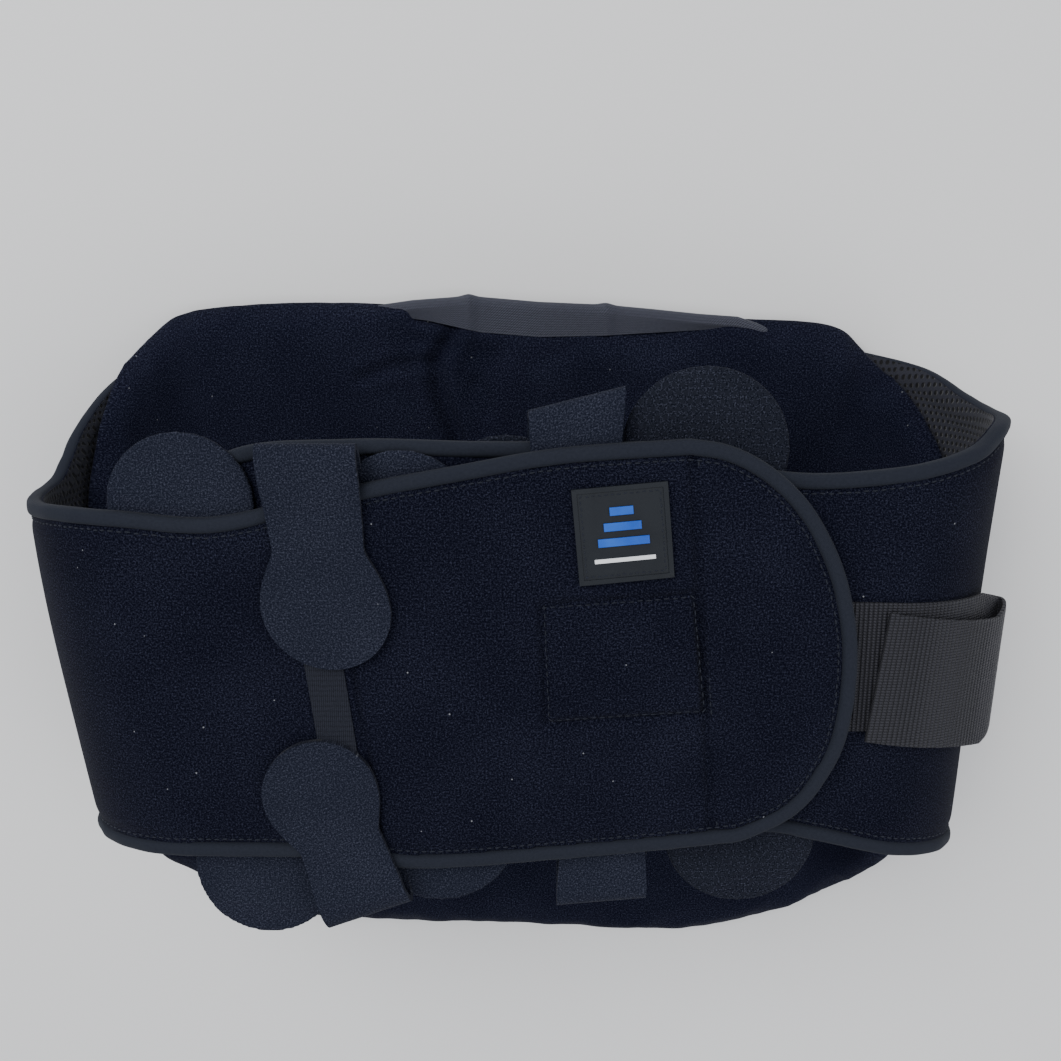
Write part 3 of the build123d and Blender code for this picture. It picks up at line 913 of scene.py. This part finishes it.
def label():
    half_x, half_y = LABEL_HALF
    label_block("label_rubber_patch", (2 * half_x, 2 * half_y, 1.7), (0, 0, 0.45), 0.55, RUBBER,
                ("label_patch",))
    rim = 1.8
    rim_x, rim_y = half_x - rim / 2, half_y - rim / 2
    rims = ((0, rim_y, 2 * half_x, rim), (0, -rim_y, 2 * half_x, rim),
            (rim_x, 0, rim, 2 * half_y), (-rim_x, 0, rim, 2 * half_y))
    for k, (x, y, width, height) in enumerate(rims):
        label_block(f"label_rim_{k + 1}", (width, height, 0.7), (x, y, 1.25), 0.3, RUBBER)
    inner_x, inner_y = half_x - 2.9, half_y - 2.9
    corners = [(-inner_x, -inner_y), (inner_x, -inner_y), (inner_x, inner_y), (-inner_x, inner_y)]
    thread = stitches("label_stitching", rectangle_line(corners), on_label, 1.32, pitch=2.2,
                      length=1.6, radius=0.24)
    finish_piece(thread, THREAD, "left_wing")
    for row, width in enumerate((8.5, 13.5, 18.5)):
        label_block(f"emblem_bar_{row + 1}", (width, 3.0, 0.8), (0, 8.6 - 5.6 * row, 1.4), 0.36, BLUE,
                    ("label_emblem",) if row == 0 else ())
    label_block("emblem_rule", (22, 1.5, 0.7), (0, -9.2, 1.35), 0.3, WHITE)


seam_tape("seam_tape_ribbed", (-76.3, 75.5), (-60.7, -51.5), 0.35, on_left, "left_wing", "left_seam_tape")
seam_tape("inner_seam_tape_ribbed", (30, 91), (30, -39), 0.1, on_right, "root", "right_seam_tape")
label()

# ------------------------------------------------------------------ the pull strap

def pull_strap():
    """Ribbed webbing that comes out from under the flap end, turns back and lies on itself."""
    path = [(104, 0.9), (120, 1.0), (150, 1.1), (172, 1.6), (186, 2.6), (195, 3.8), (200.5, 5.4),
            (202.5, 7.2), (200.5, 8.8), (195, 8.9), (186, 7.2), (172, 5.2), (156, 3.9), (137, 3.4)]
    line = smooth_line(path, 2000)
    total = length_of(line)
    slope = np.gradient(line, axis=0)
    slope /= np.linalg.norm(slope, axis=1)[:, None]
    runs = np.linspace(0, total, 2000)
    turn_start = np.argmax(line[:, 0] > 196) / 2000
    turn_end = 1 - np.argmax(line[::-1, 0] > 198) / 2000
    bend = ("root", "strap_end", (0.1896, 0, 0.0828), (0.1931, 0, 0.0848))
    for name, first, last, body, bending, replaced in (
            ("pull_strap_lower", 0.0, turn_start, "root", None, ("pull_strap",)),
            ("pull_strap_turn", turn_start, turn_end, "root", bend, ()),
            ("pull_strap_upper", turn_end, 1.0, "strap_end", None, ("pull_strap_end",))):
        columns = max(int(total * (last - first) / 0.32), 12)
        piece, at = grid_piece(name, columns, 34)
        share = first + (last - first) * at[:, 0]
        run, v = share * total, at[:, 1]
        rib = 0.22 * np.abs(np.sin(run * math.pi / 1.9))
        thick = 0.62 + rib * (np.abs(v - 0.5) < 0.475)
        lie = np.interp(share, [0, 0.5, 0.68, 1], [17.6, 15.5, 5.5, 13.5])
        skew = 3.0 * np.clip((share - 0.6) / 0.4, 0, 1) + 4.5 * np.exp(-((share - 0.6) / 0.12) ** 2)
        sheets = []
        for side in (thick, -thick):
            q = np.interp(run, runs, line[:, 0]) - np.interp(run, runs, slope[:, 1]) * side
            h = np.interp(run, runs, line[:, 1]) + np.interp(run, runs, slope[:, 0]) * side
            sheets.append(np.column_stack([q + skew * (2 * v - 1), WEBBING_WIDTH * (v - 0.5) + lie, h]))
        flat_map(piece, np.column_stack([run, sheets[0][:, 1]]))
        piece = close_over(piece, *sheets, name)
        roll_up(piece, RIGHT)
        smooth(piece, 70)
        finish_piece(piece, WEBBING, body, replaced, bend=bending)


pull_strap()

# ------------------------------------------------------------------ the back

liner_outline = smooth_line([
    (-148, 148), (-160, 143.5), (-184, 125), (-196, 107), (-203, 91), (-213, 60), (-216, 0),
    (-214, -60), (-204, -92), (-182, -112), (-155, -131), (-110, -149), (-60, -153.5), (0, -155),
    (60, -158), (90, -157.5), (123, -150), (153, -138), (182, -119), (206, -94), (214, -60),
    (216, 0), (215, 60), (209, 84), (196, 100), (182, 114), (168, 124), (157, 133), (148, 140),
    (133, 144), (99, 145.5), (82, 144), (55, 143), (38, 142), (11, 141.5), (-15, 143.5),
    (-38, 148.5), (-60, 152), (-100, 152.5), (-132, 150.5)], 900, closed=True)
PAD_BOTTOM, PAD_EDGE = 7.0, 7.2


def outline_grid(outline, centre, stretch, at):
    """Flat points that fill an outline: each ring of a square grid is a smaller outline."""
    u, v = at[:, 0] * 2 - 1, at[:, 1] * 2 - 1
    ring = np.maximum(np.abs(u), np.abs(v))
    turn = np.arctan2(v, u)
    spokes = (outline - centre) / stretch
    bearing = np.arctan2(spokes[:, 1], spokes[:, 0])
    order = np.argsort(bearing)
    bearing, reach = bearing[order], np.linalg.norm(spokes, axis=1)[order]
    bearing = np.r_[bearing[-1] - 2 * math.pi, bearing, bearing[0] + 2 * math.pi]
    reach = np.interp(turn, bearing, np.r_[reach[-1], reach, reach[0]])
    spoke = np.column_stack([np.cos(turn), np.sin(turn)]) * (ring * reach)[:, None]
    return centre + spoke * stretch


def swollen(piece, held, most):
    """Blow a piece up like stuffed fabric: held points stay, the others move up to a limit."""
    rest = points_of(piece)
    group = piece.vertex_groups.new(name="held")
    for level in range(1, 11):
        chosen = np.where(np.rint(held * 10) == level)[0]
        group.add(chosen.tolist(), level / 10, "REPLACE")
    only(piece)
    cloth = piece.modifiers.new("Cloth", "CLOTH")
    fabric = {"quality": 6, "mass": 0.3, "tension_stiffness": 12, "compression_stiffness": 12,
              "shear_stiffness": 5, "bending_stiffness": 0.3, "shrink_min": -0.03,
              "use_pressure": True, "uniform_pressure_force": 4, "vertex_group_mass": "held"}
    for key, value in fabric.items():
        setattr(cloth.settings, key, value)
    cloth.settings.effector_weights.gravity = 0
    for frame_number in range(1, 21):
        bpy.context.scene.frame_set(frame_number)
    bpy.ops.object.modifier_apply(modifier=cloth.name)
    bpy.context.scene.frame_set(1)
    move = points_of(piece) - rest
    size = np.linalg.norm(move, axis=1)
    move *= (np.minimum(size, most) / np.maximum(size, 1e-9))[:, None]
    move_points(piece, rest + move)


def back_pad():
    """The padded back: foam under brushed fabric, swollen between its seams and folds."""
    piece, at = grid_piece("back_pad", 110, 80)
    centre = np.array([0.0, -2.0])
    flat = outline_grid(liner_outline, centre, np.array([215.0, 150.0]), at)
    gap = distance_to(flat, liner_outline)
    shoulder = PAD_EDGE * np.sqrt(1 - (1 - np.clip(gap / 9, 0, 1)) ** 2)
    upper = np.column_stack([flat, PAD_BOTTOM + 0.3 + shoulder * 0.8])
    lower = np.column_stack([flat, np.full(len(flat), PAD_BOTTOM)])
    piece = close_over(piece, upper * MM, lower * MM, "back_pad", 1e-5)
    folds = [
        (smooth_line([(-42, 147), (-30, 144.5), (-28, 138), (-33, 129), (-34, 118), (-31, 106),
                      (-26, 92), (-25, 70)], 160), 3.6, 3.0),
        (smooth_line([(-25, 80), (-27, 40), (-24, -10), (-27, -60), (-25, -110), (-26, -152)], 160),
         1.3, 5.0),
        (smooth_line([(-68, 119), (-54, 124), (-37, 126)], 60), 1.5, 2.4),
        (smooth_line([(-17, 117), (-13, 111), (-12, 104)], 40), 1.3, 2.2),
        (smooth_line([(150, 100), (120, 60), (118, 0), (120, -80)], 120), 0.7, 9.0),
        (smooth_line([(-150, 110), (-128, 60), (-126, 0), (-128, -80)], 120), 0.7, 9.0),
    ]
    place = points_of(piece) / MM
    edge = distance_to(place[:, :2], liner_outline)
    fold = distance_to(place[:, :2], folds[0][0])
    held = np.where(place[:, 2] < PAD_BOTTOM + 1.5, 1.0, 0.0)
    held = np.maximum(held, np.clip((3.5 - edge) / 3.5, 0, 1))
    held = np.maximum(held, 0.9 * np.clip((4.0 - fold) / 4.0, 0, 1))
    swollen(piece, held, 0.004)
    apply_modifier(piece, "SMOOTH", factor=0.5, iterations=2)
    apply_modifier(piece, "SUBSURF", levels=1)
    points = points_of(piece) / MM
    top = np.clip((points[:, 2] - PAD_BOTTOM - 1) / 3, 0, 1)
    edge = distance_to(points[:, :2], liner_outline)
    for line, depth, width in folds:
        away = distance_to(points[:, :2], line)
        dip = np.exp(-(away / width) ** 2)
        swell = 0.35 * np.exp(-((away - 2.4 * width) / width) ** 2)
        points[:, 2] -= top * depth * (dip - swell)
    slow = (0.5 * np.sin(points[:, 0] / 29 + points[:, 1] / 41) + 0.4 * np.sin(points[:, 1] / 17 - 1)
            * np.sin(points[:, 0] / 23))
    points[:, 2] += top * slow * np.clip(edge / 20, 0, 1)
    move_points(piece, points)
    flat_map(piece)
    move_points(piece, on_back(points))
    smooth(piece, 70)
    finish_piece(piece, LINER, "root", ("back_liner", "lumbar_pad"))


def back_cover():
    """Twill nylon over the outside of the back. It and the pad form the panel's pocket."""
    piece, at = grid_piece("back_cover_twill", 150, 120)
    x = (at[:, 0] * 2 - 1) * (BACK_SEAM_X - 0.5)
    high = np.interp(x, [-150, -143, -130, -100, -45, -20, 40, 99, 125, 142, 150],
                     [131, 139, 146, 150, 151, 152.5, 149.5, 143.5, 140.5, 136, 131])
    low = np.interp(x, [-150, -143, -128, -100, -60, 60, 90, 123, 142, 150],
                    [-112, -123, -136, -146, -150, -153, -152, -144, -130, -116])
    y = low + (high - low) * at[:, 1]
    move_points(piece, np.column_stack([x, y, np.full(len(x), 0.05)]))
    flat_map(piece)
    apply_modifier(piece, "SOLIDIFY", thickness=1.1, offset=1)
    move_points(piece, on_back(points_of(piece)))
    smooth(piece, 60)
    finish_piece(piece, TWILL, "root", ("back_cover",))


def pocket_lining():
    """Thin twill between the rigid panel and the foam."""
    low, high = (np.array(corner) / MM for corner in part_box("pocket_lining"))
    half_x, half_y = high[0], high[1]
    corner, thickness = 14.0, 0.7
    piece, at = grid_piece("pocket_lining_twill", 90, 110)
    x, y = (at * 2 - 1).T
    y = y * half_y
    over = np.maximum(np.abs(y) - (half_y - corner), 0)
    x = x * (half_x - corner + np.sqrt(corner**2 - over**2))
    slack = 0.12 * np.sin(x / 13 + y / 29) * np.sin(y / 17)
    move_points(piece, np.column_stack([x, y, low[2] + thickness + 0.2 + slack]))
    flat_map(piece)
    apply_modifier(piece, "SOLIDIFY", thickness=thickness, offset=-1)
    move_points(piece, points_of(piece) * MM)
    smooth(piece, 60)
    finish_piece(piece, TWILL, "root", ("pocket_lining",))


def top_facing():
    """Twill that wraps the pad's upper edge, over the ends of the two stays."""
    cut = (222, 31)
    piece, at = grid_piece("top_facing_twill", 220, 60)
    x = -100 + cut[0] * at[:, 0]
    out = np.interp(x, [-100, -60, -45, -20, 11, 40, 60, 82, 99, 110, 122],
                    [147, 150.5, 152.6, 154.4, 151.8, 150.6, 148.8, 146.6, 145.4, 142, 138])
    inner = np.interp(x, [-100, -60, -38, -15, 11, 38, 55, 82, 99, 122],
                      [146, 147, 144, 139, 137, 137.5, 138.5, 140, 141, 137])
    ridge = sum(np.exp(-((x - stay) / 3.2) ** 2) for stay in (-20.5, 40.5))
    out += 0.8 * ridge
    share = at[:, 1]
    turn_from, turn_to, tuck, edge_bottom = 0.3, 0.65, 40, 6.4
    turn = np.clip((share - turn_from) / (turn_to - turn_from), 0, 1) * math.pi
    half = 2.6 + 0.5 * ridge
    y = out - half * 1.5 + half * 1.5 * np.sin(turn)
    y -= np.maximum(turn_from - share, 0) * tuck
    lap = np.clip((share - turn_to) / (1 - turn_to), 0, 1)
    y += (inner - y) * lap
    z = edge_bottom + half - half * np.cos(turn) + 0.9 * ridge * np.sin(turn / 2) * (1 - 0.5 * lap)
    z += 0.35 * np.sin(x / 7.3) * np.sin(turn / 2)
    move_points(piece, np.column_stack([x, y, z]))
    flat_map(piece, np.column_stack([x, share * cut[1]]))
    apply_modifier(piece, "SOLIDIFY", thickness=0.5, offset=-1)
    move_points(piece, on_back(points_of(piece)))
    tidy_normals(piece, 1e-7)
    smooth(piece, 60)
    finish_piece(piece, TWILL, "root")


back_pad()
back_cover()
pocket_lining()
top_facing()

# ------------------------------------------------------------------ the frame's own parts

for node, material in (
        ("posterior_stays", STEEL), ("rigid_panel", PANEL), ("flap_end_hook", HOOK),
        ("flap_hook_patch", HOOK), ("top_tab_hook", HOOK), ("bottom_tab_hook", HOOK)):
    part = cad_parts[node]
    part.data.materials.clear()
    part.data.materials.append(material)

# ------------------------------------------------------------------ floor, light, camera

def stage():
    bpy.ops.object.select_all(action="DESELECT")
    bpy.ops.mesh.primitive_plane_add(size=6, location=(0, 0, -0.0005))
    floor = added("floor")
    paint = Paint("floor", (0.78, 0.775, 0.765), 0.75, Specular_IOR_Level=0.2)
    floor.data.materials.append(paint.material)
    world = bpy.data.worlds.new("studio")
    bpy.context.scene.world = world
    world.use_nodes = True
    world.node_tree.nodes["Background"].inputs["Color"].default_value = (0.9, 0.93, 1.0, 1)
    world.node_tree.nodes["Background"].inputs["Strength"].default_value = 0.75
    for name, place, size, power in (
            ("window", (-0.9, 1.1, 1.6), 1.4, 34), ("fill", (1.3, -0.6, 1.4), 1.6, 13)):
        light = bpy.data.lights.new(name, "AREA")
        light.energy = power
        light.size = size
        lamp = bpy.data.objects.new(name, light)
        bpy.context.collection.objects.link(lamp)
        lamp.location = place
        aim = -np.array(place) + (0, 0, 0.08)
        lamp.rotation_euler = (math.atan2(math.hypot(aim[0], aim[1]), -aim[2]), 0,
                               math.atan2(aim[1], aim[0]) - math.pi / 2)


def camera():
    tilt = math.radians(12)
    distance = 0.367
    target = (0.007, 0.071, 0.115)
    lens = bpy.data.cameras.new("camera")
    lens.lens = 34.68
    lens.sensor_width = 36
    lens.clip_start = 0.01
    eye = bpy.data.objects.new("camera", lens)
    bpy.context.collection.objects.link(eye)
    eye.location = (target[0], target[1] + distance * math.sin(tilt), target[2] + distance * math.cos(tilt))
    eye.rotation_euler = (-tilt, 0, 0)
    bpy.context.scene.camera = eye


stage()
camera()
